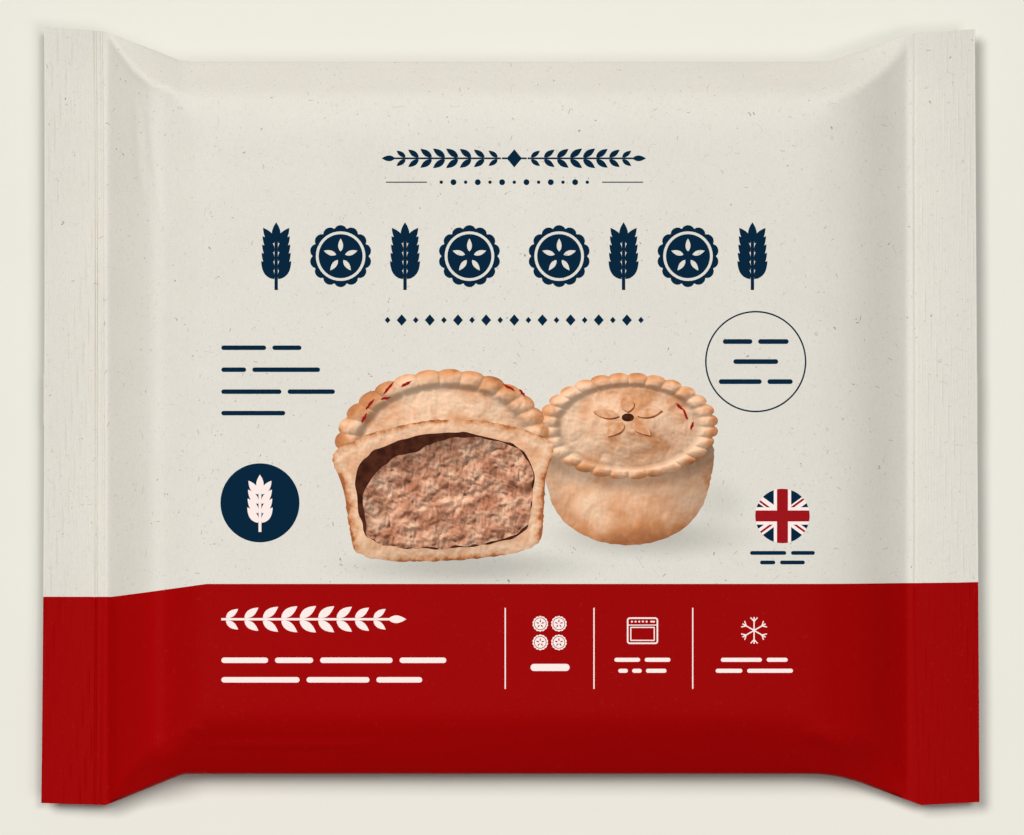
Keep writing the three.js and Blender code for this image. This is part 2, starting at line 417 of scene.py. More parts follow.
def round_box(x0, y0, x1, y1, radius, count):
    centres = [(x1 - radius, y1 - radius), (x0 + radius, y1 - radius)]
    centres += [(x0 + radius, y0 + radius), (x1 - radius, y0 + radius)]
    outline = []
    for quarter, (cx, cy) in enumerate(centres):
        for i in range(count + 1):
            a = math.pi / 2 * (quarter + i / count)
            outline.append((cx + radius * math.cos(a), cy + radius * math.sin(a)))
    return outline


def pill(x0, x1, y, height):
    """A bar with round ends"""
    return round_box(x0, y - height / 2, x1, y + height / 2, height * 0.499, 4)


def turned(points, x, y, angle):
    """Points turned about the origin and then moved"""
    ca, sa = math.cos(angle), math.sin(angle)
    return [(x + px * ca - py * sa, y + px * sa + py * ca) for px, py in points]


def leaf(x, y, length, width, angle, count=9):
    """A pointed leaf that starts at a point"""
    edge = [(i / count, math.sin(math.pi * (i / count) ** 0.85) ** 0.9) for i in range(count + 1)]
    upper = [(t * length, s * width / 2) for t, s in edge]
    lower = [(t * length, -s * width / 2) for t, s in edge[-2:0:-1]]
    return turned(lower[::-1] + upper[::-1], x, y, angle)


def lobed(x, y, width, height, lobes, depth, power):
    """An oval with a scalloped edge, from its half width and half height"""
    outline = []
    for a in (2 * math.pi * i / (lobes * 6) for i in range(lobes * 6)):
        reach = 1 - depth + depth * abs(math.sin(lobes * a / 2)) ** power
        outline.append((x + width * reach * math.cos(a), y + height * reach * math.sin(a)))
    return outline


def edges(outline):
    """The edges of a closed outline, as pairs of points"""
    return zip(outline, outline[1:] + outline[:1])


def points_between(a, b, shares):
    return [(mix(a[0], b[0], share), mix(a[1], b[1], share)) for share in shares]


def divided(a, b, count):
    return points_between(a, b, [i / count for i in range(count)])


def rounded(outline, times=3):
    """Cuts the corners of a closed outline until it is smooth"""
    for _ in range(times):
        outline = [point for a, b in edges(outline) for point in points_between(a, b, (0.25, 0.75))]
    return outline


def ragged(outline, step, amount):
    """Makes the edge of a closed outline uneven"""
    points = []
    for a, b in edges(outline):
        points += divided(a, b, max(1, round(math.dist(a, b) / step)))
    return [(x + random.uniform(-amount, amount), y + random.uniform(-amount, amount)) for x, y in points]


class Print:
    """The outlines on one sheet of film, and which ink covers which of them at which layer"""

    def __init__(self):
        self.outlines = []
        self.pieces = {}

    def outline(self, points):
        """Keeps an outline, turned anticlockwise, and gives its number"""
        area = sum(ax * by - bx * ay for (ax, ay), (bx, by) in edges(points))
        dense = []
        for a, b in edges(points):
            at_end = abs(a[0]) == abs(b[0]) == HALF_LENGTH
            at_side = abs(a[1]) == abs(b[1]) == SEAL_HALF_LENGTH
            dense += divided(a, b, 1 if at_end or at_side else math.ceil(math.dist(a, b) / OUTLINE_STEP))
        self.outlines.append(dense if area > 0 else dense[::-1])
        return len(self.outlines) - 1


class Ink:
    """One ink at one layer of a print"""

    def __init__(self, art, piece, layer):
        self.art = art
        self.parts = art.pieces.setdefault((piece, layer), [])

    def fill(self, points, inside=(), outside=()):
        """Ink over the outline, only inside some others, and not on yet others"""
        number = self.art.outline(points)
        self.parts.append(({number, *inside}, set(outside)))
        return number

    def bars(self, x, y, height, gap, lengths):
        """A row of bars, from its left end"""
        for length in lengths:
            self.fill(pill(x, x + length, y, height))
            x += length + gap

    def centred_bars(self, x, height, gap, rows):
        """Rows of bars about a centre line, each from its own y and its lengths"""
        for y, lengths in rows:
            total = sum(lengths) + gap * (len(lengths) - 1)
            self.bars(x - total / 2, y, height, gap, lengths)


front = Print()
back = Print()
dark = Ink(front, "print_dark", 1)
light = Ink(front, "print_light", 2)
red = Ink(front, "print_red", 3)

# Lower band of solid colour, on both sheets
BAND_EDGE = [(HALF_LENGTH, -35.1), (94.7, -35.2), (85.9, -35.3), (-63.7, -35.3), (-84.0, -38.2)]
BAND_CORNERS = [(-HALF_LENGTH, -38.2), (-HALF_LENGTH, -SEAL_HALF_LENGTH), (HALF_LENGTH, -SEAL_HALF_LENGTH)]
BAND_LEFT_LEVEL = -38.1
BAND_RIGHT_LEVEL = -35.0
BACK_BAND_EDGE = -48.0
Ink(front, "band_print", 1).fill(BAND_EDGE + BAND_CORNERS)
Ink(back, "band_print", 1).fill(box(-HALF_LENGTH, -SEAL_HALF_LENGTH, HALF_LENGTH, BACK_BAND_EDGE))


# Ornaments

LEAF_LEAN = 0.62


def leaf_pair(ink, x, y, size, angle, apart, way):
    """Two leaves, one on each side of a stem that runs at an angle"""
    for side in (-way, way):
        base_x, base_y = x - side * apart * math.sin(angle), y + side * apart * math.cos(angle)
        ink.fill(leaf(base_x, base_y, size, size * 0.42, angle + side * LEAF_LEAN))


def sprig(ink, x0, x1, y, height, pairs):
    """A lying sprig with pairs of leaves that point from x0 to x1"""
    ink.fill(stroke(x0, y, x1, y, height * 0.09))
    angle, way = (0, 1) if x1 > x0 else (math.pi, -1)
    pitch = (x1 - x0) / (pairs + 0.6)
    for i in range(pairs):
        size = height * 0.78 * (1 - 0.25 * abs(2 * i / (pairs - 1) - 1) ** 2)
        leaf_pair(ink, x0 + pitch * (i + 0.25), y, size, angle, height * 0.06, way)
    ink.fill(leaf(x1 - pitch * 0.55, y, height * 0.7, height * 0.3, angle))


def ear(ink, x, y0, y1, pairs):
    """An upright ear of grain"""
    height = y1 - y0
    ink.fill(stroke(x, y0, x, y1 - height * 0.25, height * 0.05))
    for i in range(pairs):
        y = y0 + height * (0.16 + 0.66 / pairs * i)
        leaf_pair(ink, x, y, height * (0.33 - 0.012 * i), math.pi / 2, height * 0.03, -1)
    ink.fill(leaf(x, y1 - height * 0.3, height * 0.3, height * 0.13, math.pi / 2))


def pie_sign(ink, x, y, radius):
    """A whole pie from above, with a scalloped rim and slits in its lid"""
    rim_in = ink.art.outline(disc(x, y, radius * 0.8))
    ink.fill(lobed(x, y, radius, radius, 14, 0.1, 0.7), outside=[rim_in])
    slits = []
    for i in range(5):
        a = math.pi / 2 + 2 * math.pi * i / 5
        start_x, start_y = x + radius * 0.15 * math.cos(a), y + radius * 0.15 * math.sin(a)
        slits.append(ink.art.outline(leaf(start_x, start_y, radius * 0.42, radius * 0.16, a)))
    ink.fill(disc(x, y, radius * 0.71), outside=slits)


# Upper ornament: two sprigs that meet at a lozenge, over a row of dots between two rules
CENTRE_X = 0.8
NAME_Y = 53.9
DOTS_Y = 48.9
dark.fill(stroke(CENTRE_X - 2.6, NAME_Y, CENTRE_X + 2.6, NAME_Y, 0.36))
dark.fill(lozenge(CENTRE_X, NAME_Y, 1.6, 1.9))
sprig(dark, CENTRE_X - 2.8, -25.7, NAME_Y, 4.0, 8)
sprig(dark, CENTRE_X + 2.8, 27.1, NAME_Y, 4.0, 8)
dark.fill(stroke(-26.1, DOTS_Y, -17.5, DOTS_Y, 0.22))
dark.fill(stroke(19.2, DOTS_Y, 27.8, DOTS_Y, 0.22))
for i in range(13):
    dark.fill(disc(CENTRE_X + (i - 6) * 2.55, DOTS_Y, 0.62 if i % 2 else 0.36, 16))

# Middle ornament: a frieze of ears and pies
FRIEZE_BOTTOM = 26.3
FRIEZE_TOP = 40.5
FRIEZE_PITCH = 13.5
for side in (-1, 1):
    for i in range(4):
        x = CENTRE_X + side * (9.4 + FRIEZE_PITCH * i)
        if i % 2:
            ear(dark, x, FRIEZE_BOTTOM, FRIEZE_TOP, 5)
        else:
            pie_sign(dark, x, (FRIEZE_BOTTOM + FRIEZE_TOP) / 2, 6.5)

# Row of small lozenges under it
LOZENGES_Y = 20.0
for i in range(19):
    half = 1.05 if i % 2 else 0.6
    dark.fill(lozenge(CENTRE_X + (i - 9) * 2.95, LOZENGES_Y, half, half * 1.15))

# Four short lines on the left
PARAGRAPH_LEFT = -60.6
for y, lengths in ((14.2, (9.4, 6.1)), (9.6, (5.2, 14.2)), (5.0, (12.6, 9.9)), (0.5, (13.4,))):
    dark.bars(PARAGRAPH_LEFT, y, 0.95, 1.3, lengths)

# Round sign with a white ear of grain
dark.fill(disc(-52.5, -18.3, 8.28, 96))
ear(light, -52.5, -24.4, -12.4, 4)

# Thin ring round three short lines
RING_X, RING_Y = 51.4, 11.3
dark.fill(disc(RING_X, RING_Y, 10.62, 96), outside=[front.outline(disc(RING_X, RING_Y, 10.3, 96))])
dark.centred_bars(RING_X, 1.0, 1.2, [(15.5, (6.2, 6.4)), (RING_Y, (9.4,)), (7.1, (9.0, 5.3))])

# Flag in a circle, over two short lines
FLAG_X, FLAG_Y, FLAG_RADIUS = 57.0, -21.05, 5.7
FLAG_RED_BAR = 2.3
FLAG_WHITE_BAR = 3.64
FLAG_DIAGONAL = 1.6
FLAG_RED_DIAGONAL = 0.42
FLAG_RED_SHIFT = 0.27
FLAG_ANGLE = math.radians(36)


def flag_roundel():
    """A dark disc with white diagonals and cross, a red cross and thin red diagonals"""
    field = dark.fill(disc(FLAG_X, FLAG_Y, FLAG_RADIUS, 96))
    reach = FLAG_RADIUS + 1
    ca, sa = math.cos(FLAG_ANGLE), math.sin(FLAG_ANGLE)

    def bar(ink, x0, y0, x1, y1, width, outside=()):
        line = stroke(FLAG_X + x0, FLAG_Y + y0, FLAG_X + x1, FLAG_Y + y1, width)
        return ink.fill(line, inside=[field], outside=outside)

    def cross(ink, width):
        return [bar(ink, 0, -reach, 0, reach, width), bar(ink, -reach, 0, reach, 0, width)]

    for side in (-1, 1):
        bar(light, -reach * ca, -side * reach * sa, reach * ca, side * reach * sa, FLAG_DIAGONAL)
    white_bars = cross(light, FLAG_WHITE_BAR)
    cross(red, FLAG_RED_BAR)
    for sx, sy in ((1, 1), (-1, 1), (-1, -1), (1, -1)):
        x, y = -FLAG_RED_SHIFT * sa, FLAG_RED_SHIFT * sx * ca
        bar(red, x, y, x + sx * reach * ca, y + sy * reach * sa, FLAG_RED_DIAGONAL, white_bars)


flag_roundel()
dark.centred_bars(FLAG_X, 0.8, 1.0, [(-28.8, (7.6, 5.0)), (-30.8, (3.2, 5.2))])

# Left part of the band: a sprig and two lines
sprig(light, PARAGRAPH_LEFT, -23.5, -42.7, 5.4, 9)
light.bars(PARAGRAPH_LEFT, -51.3, 1.15, 1.45, (9.8, 8.0, 15.2, 9.8))
light.bars(PARAGRAPH_LEFT, -55.4, 1.15, 1.45, (16.4, 13.2, 9.6))

# Dividers
for x in (-1.1, 17.5, 38.2):
    light.fill(box(x - 0.13, -57.3, x + 0.13, -40.3))

# Four small pies over a bar
for sx in (-1, 1):
    for sy in (-1, 1):
        pie_sign(light, 8.2 + sx * 1.95, -45.6 + sy * 1.95, 1.65)
light.centred_bars(8.3, 1.5, 1.0, [(-52.8, (8.2,))])

# Oven pictogram: rounded case, knobs, a line below them and the door's window
OVEN_LEFT, OVEN_RIGHT, OVEN_LOW, OVEN_HIGH = 24.4, 30.95, -47.9, -42.3
KNOBS_Y = -43.2


def frame_line(x0, y0, x1, y1, radius, width):
    """The line round a box with round corners"""
    inner = round_box(x0 + width, y0 + width, x1 - width, y1 - width, max(radius - width, 0.05), 3)
    light.fill(round_box(x0, y0, x1, y1, radius, 3), outside=[front.outline(inner)])


frame_line(OVEN_LEFT, OVEN_LOW, OVEN_RIGHT, OVEN_HIGH, 0.6, 0.33)
light.fill(box(OVEN_LEFT + 0.3, -44.02, OVEN_RIGHT - 0.3, -43.82))
frame_line(OVEN_LEFT + 0.7, -47.25, OVEN_RIGHT - 0.7, -44.28, 0.15, 0.24)
for i in range(5):
    light.fill(disc(25.45 + 0.77 * i, KNOBS_Y, 0.21, 10))
light.fill(pill(29.3, 30.3, KNOBS_Y, 0.36))
light.centred_bars(27.65, 0.85, 0.95, [(-51.2, (5.4, 5.4))])
light.centred_bars(27.65, 0.85, 0.9, [(-53.5, (2.0, 2.0, 4.3))])

# Snowflake pictogram
SNOW_X, SNOW_Y, SNOW_REACH, SNOW_FORK = 51.05, -45.05, 2.8, 1.9
for i in range(6):
    a = math.pi / 2 + math.pi / 3 * i
    ux, uy = math.cos(a), math.sin(a)
    light.fill(stroke(SNOW_X, SNOW_Y, SNOW_X + SNOW_REACH * ux, SNOW_Y + SNOW_REACH * uy, 0.26))
    fork = (SNOW_X + SNOW_FORK * ux, SNOW_Y + SNOW_FORK * uy)
    for side in (-0.72, 0.72):
        light.fill(stroke(*fork, fork[0] + 0.8 * ux - side * uy, fork[1] + 0.8 * uy + side * ux, 0.24))
light.centred_bars(51.1, 0.85, 1.0, [(-51.2, (8.6, 4.4)), (-53.5, (5.6, 9.6))])

# Picture of the food: half a pie with its cut face in front, and a whole one behind it. The half
# is drawn from the middle of its foot
HALF_X, HALF_Y, HALF_TILT = -13.0, -30.4, math.radians(3)
CUT_FACE_RIGHT = [
    (19.2, 0.0), (20.4, 8.0), (21.4, 18.0), (23.2, 21.0), (23.0, 24.0), (20.6, 25.2), (13.0, 28.2),
    (0.0, 30.0),
]
HOLLOW_RIGHT = [(16.4, 2.6), (18.4, 12.0), (19.0, 19.6), (15.6, 23.4), (8.0, 26.2), (0.0, 27.2)]
FILLING = [
    (-16.3, 2.8), (16.3, 2.8), (18.3, 12.0), (18.9, 19.4), (15.5, 23.1), (8.0, 25.8), (2.0, 25.9),
    (-3.0, 23.9), (-9.0, 22.9), (-13.6, 20.4), (-16.8, 15.6), (-17.6, 11.0),
]
LID_BACK_Y, LID_HALF_WIDTH, LID_HALF_HEIGHT = 24.6, 22.6, 15.6
WHOLE_X, WHOLE_Y = 24.6, -2.2
WALL = [
    (5.6, -3.0), (7.6, -16.0), (10.4, -22.0), (16.4, -26.0), (24.6, -27.6), (32.8, -26.0), (38.8, -22.0),
    (41.6, -16.0), (43.6, -3.0), (24.6, 6.0),
]
RIM_WIDTH, RIM_HEIGHT_SEEN = 19.0, 11.2
CRIMPS = 28
CRIMP_POWER = 0.6
VENT_Y = WHOLE_Y + 1.8
FORESHORTENED = 0.62


def mirrored(right):
    """A whole outline from its right half, whose last point lies on the centreline"""
    first, *left = [(-x, y) for x, y in right[:-1]]
    return [first] + right + left[::-1]


def on_half(points, rounds=0):
    return turned(rounded(points, rounds), HALF_X, HALF_Y, HALF_TILT)


# The half pie: lid with a crimped rim, cut crust, hollow and filling
cut_face = Ink(front, "picture_crust", 2).fill(ragged(on_half(mirrored(CUT_FACE_RIGHT), 3), 0.7, 0.14))
lid_back = lobed(0, LID_BACK_Y, LID_HALF_WIDTH, LID_HALF_HEIGHT, CRIMPS, 0.035, CRIMP_POWER)
half_lid = Ink(front, "picture_half_lid", 1).fill(on_half(lid_back))
Ink(front, "picture_gap", 3).fill(rounded(ragged(on_half(mirrored(HOLLOW_RIGHT), 2), 1.5, 0.3), 1))
Ink(front, "picture_filling", 4).fill(rounded(ragged(on_half(FILLING, 2), 1.3, 0.45), 1))

# The whole pie behind it: wall, domed lid with a crimped rim, and leaves round a vent
in_front = [cut_face, half_lid]
Ink(front, "picture_wall", 1).fill(ragged(rounded(WALL), 0.8, 0.12), outside=in_front)
whole_lid = lobed(WHOLE_X, WHOLE_Y, RIM_WIDTH, RIM_HEIGHT_SEEN, CRIMPS, 0.05, CRIMP_POWER)
Ink(front, "picture_whole_lid", 2).fill(whole_lid, outside=in_front)
leaf_shade = Ink(front, "picture_leaf_shade", 3)
leaf_top = Ink(front, "picture_leaf", 4)
for i in range(5):
    a = 0.35 + 2 * math.pi * i / 5
    base_x, base_y = WHOLE_X + 1.9 * math.cos(a), VENT_Y + 1.2 * math.sin(a)
    blade = [(base_x + px, base_y + py * FORESHORTENED) for px, py in leaf(0, 0, 5.8, 2.9, a)]
    leaf_shade.fill([(px + 0.22, py - 0.32) for px, py in blade])
    leaf_top.fill(blade)
Ink(front, "picture_gap", 5).fill([(WHOLE_X + 1.3 * x, VENT_Y + 0.85 * y) for x, y in disc(0, 0, 1, 20)])

# Short red strokes on both lids: start, length and angle
RED_STROKES = [
    (-31.2, -1.6, 2.4, 1.1), (-30.4, 1.2, 3.0, 0.9), (-27.2, 3.4, 2.2, 0.2), (-26.6, 4.4, 3.4, 0.9),
    (-23.0, 6.0, 2.8, 0.5), (-1.6, 6.6, 3.0, -0.5), (1.8, 5.6, 2.2, -0.9), (34.6, 2.6, 2.6, -0.7),
    (36.2, 1.4, 2.6, -1.2), (38.4, -1.2, 2.0, -1.9),
]
red_marks = Ink(front, "print_red", 6)
for x, y, length, angle in RED_STROKES:
    red_marks.fill(ragged(leaf(x, y, length, 0.55, angle), 0.45, 0.09))


# The film's mesh

def stations(*spans):
    """Places along the pack, from spans that follow one another: start, end and count"""
    parts = [np.linspace(*span)[:-1] for span in spans]
    return np.append(np.concatenate(parts), spans[-1][1])


def columns():
    """Stations of the film, close together where the seals are crimped"""
    left_ribs, right_ribs = LEFT_LINE - RIBS_WIDTH, RIGHT_LINE + RIBS_WIDTH
    left_body, right_body = LEFT_LINE + END_REACH, RIGHT_LINE - END_REACH
    step = CRIMP_PITCH / CRIMP_STEPS
    return stations(
        (-HALF_LENGTH, left_ribs, round((left_ribs + HALF_LENGTH) / step) + 1),
        (left_ribs, LEFT_LINE, RIB_STEPS + 1),
        (LEFT_LINE, left_body, LEFT_END_COLUMNS),
        (left_body, right_body, round((right_body - left_body) / BODY_STEP)),
        (right_body, RIGHT_LINE, RIGHT_END_COLUMNS),
        (RIGHT_LINE, right_ribs, RIB_STEPS + 1),
        (right_ribs, HALF_LENGTH, round((HALF_LENGTH - right_ribs) / step) + 1),
    )


def sheet_grid(step):
    rows = np.linspace(-SEAL_HALF_LENGTH, SEAL_HALF_LENGTH, round(2 * SEAL_HALF_LENGTH / step) + 1)
    return [(float(x), float(q)) for x in columns() for q in rows]


def triangulate(points, art):
    """Triangles over the points and the print's outlines, and the outlines that cover each"""
    vertices = [Vector(point) for point in points]
    faces = []
    for outline in art.outlines:
        first = len(vertices)
        vertices.extend(Vector(point) for point in outline)
        faces.append(list(range(first, len(vertices))))
    result = delaunay_2d_cdt(vertices, [], faces, 0, 1e-5, True)
    flat = np.array([(v.x, v.y) for v in result[0]])
    triangles = np.array([tuple(face) for face in result[2]])
    a, b, c = (flat[triangles[:, i]] for i in range(3))
    area = (b[:, 0] - a[:, 0]) * (c[:, 1] - a[:, 1]) - (b[:, 1] - a[:, 1]) * (c[:, 0] - a[:, 0])
    keep = np.nonzero(np.abs(area) > 1e-9)[0]
    flip = area[keep] < 0
    kept = triangles[keep]
    kept[flip] = kept[flip][:, ::-1]
    return flat, kept, [set(result[5][i]) for i in keep]


def border_loop(flat):
    """The border's vertices in order round the sheet"""
    near_end = np.abs(np.abs(flat[:, 0]) - HALF_LENGTH) < NEAR
    near_side = np.abs(np.abs(flat[:, 1]) - SEAL_HALF_LENGTH) < NEAR

    def turn(i):
        x, q = flat[i]
        sides = ((q + SEAL_HALF_LENGTH, x), (x - HALF_LENGTH, q), (q - SEAL_HALF_LENGTH, -x), (0, -q))
        return next((side, along) for side, (off, along) in enumerate(sides) if abs(off) < NEAR)

    return sorted(np.nonzero(near_end | near_side)[0].tolist(), key=turn)


def build_sheet(grid, art, height, up):
    """One sheet: its flat plan, points, normals, border, triangles, and the triangles of each ink"""
    flat, faces, cover = triangulate(grid, art)
    x, q = flat.T
    points = sheet_points(x, q, height)
    normals = sheet_normals(x, q, height, up)
    inks = {}
    for key, parts in art.pieces.items():
        for number, ids in enumerate(cover):
            if any(inside <= ids and not outside & ids for inside, outside in parts):
                inks.setdefault(key, []).append(number)
    return flat, points, normals, border_loop(flat), faces.tolist(), inks


def build_film():
    """Vertices, normals and triangles of the closed film, and the triangles of each ink"""
    grid = sheet_grid(ROW_STEP) + [(-HALF_LENGTH, BACK_BAND_EDGE), (HALF_LENGTH, BACK_BAND_EDGE)]
    flat, top_points, top_normals, top_loop, top_faces, inks = build_sheet(grid, front, top_height, 1)
    rim = [tuple(flat[i].tolist()) for i in sorted(top_loop)]
    x_limit, q_limit = HALF_LENGTH - 0.01, SEAL_HALF_LENGTH - 0.01
    inner = [(x, q) for x, q in sheet_grid(BACK_STEP) if abs(x) < x_limit and abs(q) < q_limit]
    sheet = build_sheet(rim + inner, back, back_height, -1)
    _, back_points, back_normals, back_loop, back_faces, back_inks = sheet

    shift = len(top_points)
    points = np.concatenate([top_points, back_points])
    normals = np.concatenate([top_normals, back_normals])
    faces = [tuple(face) for face in top_faces]
    faces += [(a + shift, c + shift, b + shift) for a, b, c in back_faces]
    for key, numbers in back_inks.items():
        inks[key] += [len(top_faces) + number for number in numbers]

    # The edge that joins the two sheets
    if len(top_loop) != len(back_loop):
        raise ValueError("the two sheets have different edges: %d and %d" % (len(top_loop), len(back_loop)))
    for i, top_a in enumerate(top_loop):
        j = (i + 1) % len(top_loop)
        top_b, back_a, back_b = top_loop[j], back_loop[i] + shift, back_loop[j] + shift
        band_level = BAND_LEFT_LEVEL if flat[top_a, 0] < 0 else BAND_RIGHT_LEVEL
        if max(flat[top_a, 1], flat[top_b, 1]) < band_level:
            inks["band_print", 1] += [len(faces), len(faces) + 1]
        faces += [(back_a, back_b, top_b), (back_a, top_b, top_a)]
    return points, normals, faces, inks


def add_object(name, data):
    thing = bpy.data.objects.new(name, data)
    bpy.context.scene.collection.objects.link(thing)
    return thing


def add_mesh(name, points, faces, material):
    mesh = bpy.data.meshes.new(name)
    mesh.from_pydata([tuple(p) for p in (np.asarray(points) * MM).tolist()], [], faces)
    mesh.materials.append(material)
    mesh.shade_smooth()
    return add_object(name, mesh)


def add_piece(name, points, faces, material, normals=None):
    piece = add_mesh(name, points, faces, material)
    if normals is not None:
        piece.data.normals_split_custom_set_from_vertices([tuple(n) for n in normals.tolist()])
    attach(piece, "root")
    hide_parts("pack")
    return piece


def add_ink(name, layers, points, normals, faces, material):
    """Thin closed skins that lie on the film, one for each layer of the same ink"""
    skin_points, skin_faces, skin_normals = [], [], []
    for layer, numbers in layers:
        chosen = [faces[i] for i in numbers]
        used = sorted({v for face in chosen for v in face})
        place = {v: i for i, v in enumerate(used)}
        first = len(skin_points)
        low = first + len(used)
        top = points[used] + normals[used] * INK_LAYER * layer
        bottom = points[used] - normals[used] * INK_ROOT
        skin_points += top.tolist() + bottom.tolist()
        skin_normals += normals[used].tolist() + (-normals[used]).tolist()
        borders = {}
        for face in chosen:
            a, b, c = (place[v] for v in face)
            skin_faces.append((first + a, first + b, first + c))
            skin_faces.append((low + c, low + b, low + a))
            borders.update(dict.fromkeys(((a, b), (b, c), (c, a))))
        for a, b in borders:
            if (b, a) not in borders:
                skin_faces.append((first + b, first + a, low + a, low + b))
    return add_piece(name, skin_points, skin_faces, material, np.array(skin_normals))


def fin_mesh():
    """The fin seal, folded flat along the back, with fine lengthwise crimps"""
    rows = int(FIN_WIDTH / FIN_CRIMP_PITCH) * FIN_CRIMP_STEPS + 1
    ys = np.linspace(FIN_OFFSET - FIN_WIDTH / 2, FIN_OFFSET + FIN_WIDTH / 2, rows)
    ends = (-FIN_HALF_LENGTH, -FIN_MIDDLE, FIN_MIDDLE, FIN_HALF_LENGTH)
    xs = stations(*[(start, end, FIN_COLUMNS) for start, end in zip(ends, ends[1:])])
    grid_x, grid_y = (part.ravel() for part in np.meshgrid(xs, ys, indexing="ij"))
    film = back_height(grid_x, grid_y)
    crimps = FIN_CRIMP_HEIGHT * (1 - np.cos(2 * math.pi * (grid_y - ys[0]) / FIN_CRIMP_PITCH)) / 2
    upper = np.stack([grid_x, grid_y, film + FIN_ROOT], axis=1)
    lower = np.stack([grid_x, grid_y, np.maximum(film - FIN_THICKNESS + crimps, 0)], axis=1)
    number = np.arange(len(upper)).reshape(len(xs), rows)
    corners = (number[:-1, :-1], number[1:, :-1], number[1:, 1:], number[:-1, 1:])
    cells = np.stack([corner.ravel() for corner in corners], axis=1)
    rim = np.concatenate([number[:, 0], number[-1, 1:], number[-2::-1, -1], number[0, -2:0:-1]])
    after = np.roll(rim, -1)
    shift = len(upper)
    sides = np.stack([rim, rim + shift, after + shift, after], axis=1)
    faces = np.concatenate([cells, cells[:, ::-1] + shift, sides])
    return np.concatenate([upper, lower]), faces.tolist()


# Materials

FILM_ROUGHNESS = 0.6
FILM_SHINE = 0.08
INK_SHINE = 0.03


def srgb(red, green, blue):
    """A screen colour, 0 to 255, as scene-linear values"""
    shares = [value / 255 for value in (red, green, blue)]
    return (*[v / 12.92 if v <= 0.04045 else ((v + 0.055) / 1.055) ** 2.4 for v in shares], 1.0)


